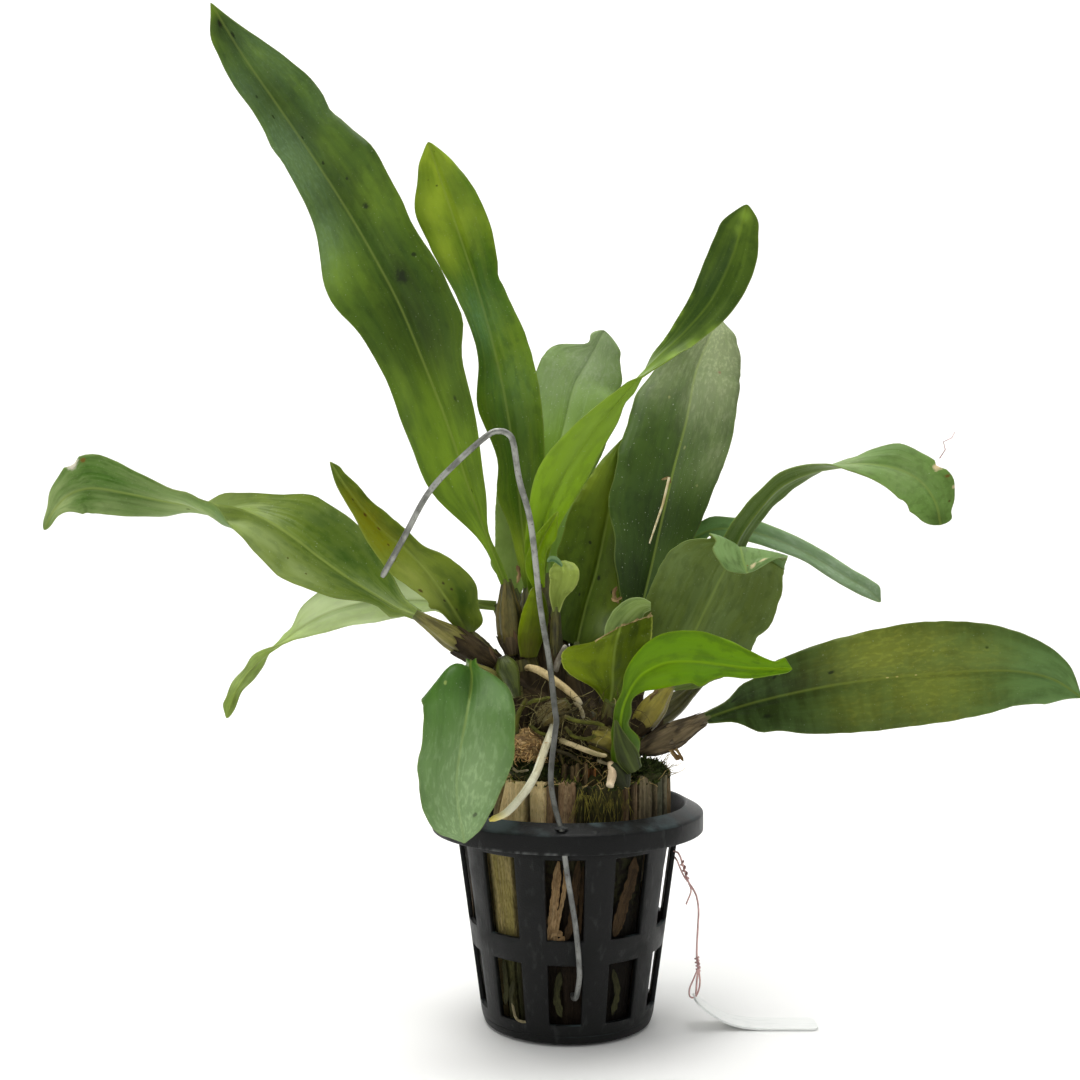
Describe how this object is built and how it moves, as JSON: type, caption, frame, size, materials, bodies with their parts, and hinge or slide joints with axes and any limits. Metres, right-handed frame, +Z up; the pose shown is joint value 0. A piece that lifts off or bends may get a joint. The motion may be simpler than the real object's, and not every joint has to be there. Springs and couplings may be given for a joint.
{
  "type": "orchid in net basket",
  "caption": "Orchid with pseudobulbs and strap-like leaves, potted in coconut husk in a slotted net basket with a wire hanger.",
  "frame": {"origin": "centre of the basket's flat foot", "axes": "+Z up, -Y towards the front of the basket where the hanger wire is"},
  "size_m": [0.3181, 0.1317, 0.3216],
  "materials": {
    "plastic": "black moulded plastic, worn satin",
    "wire": "weathered galvanised wire",
    "copper": "bare copper coloured wire",
    "label": "plain white plastic strip",
    "husk": "coarse coconut husk",
    "bark": "crumbly bark",
    "bulb": "ribbed living stem with dry papery sheath",
    "leaf": "satin leaf with dusty bloom",
    "root": "spongy cream root skin"
  },
  "bodies": {
    "root": {"basket": "plastic", "hanger_wire": "wire", "tie_wire": "copper", "plant_label": "label", "bulb_tall": "bulb", "bulb_left": "bulb", "bulb_hanging": "bulb", "bulb_old": "bulb", "bulb_yellow": "bulb", "bulb_right": "bulb", "bulb_dark": "bulb", "bulb_brown": "bulb", "leaf_tall_left": "leaf", "leaf_tall_middle": "leaf", "leaf_back_dusty": "leaf", "leaf_bright_twisted": "leaf", "leaf_broad_dark": "leaf", "leaf_olive_back": "leaf", "leaf_back_pale": "leaf", "leaf_far_left": "leaf", "leaf_left_low": "leaf", "leaf_left_spotted": "leaf", "leaf_hanging_front": "leaf", "leaf_right_arching": "leaf", "leaf_right_narrow": "leaf", "leaf_right_low": "leaf", "leaf_right_folded": "leaf", "leaf_cut_front": "leaf", "leaf_bright_front": "leaf", "leaf_young": "leaf", "leaf_young_curled": "leaf", "shoot_keeled": "leaf", "shoot_cut": "bulb", "rhizome": "bulb", "root_long": "root", "root_upper": "root", "root_middle": "root", "root_stub": "root", "root_dry": "root", "husk_chip_1": "husk", "husk_chip_2": "husk", "husk_chip_3": "husk", "husk_chip_4": "husk", "husk_chip_5": "husk", "husk_chip_6": "husk", "husk_chip_7": "husk", "husk_chip_8": "husk", "husk_chip_9": "husk", "husk_chip_10": "husk", "husk_chip_11": "husk", "husk_chip_12": "husk", "bark_chunk": "bark", "husk_core": "husk"}
  },
  "joints": []
}
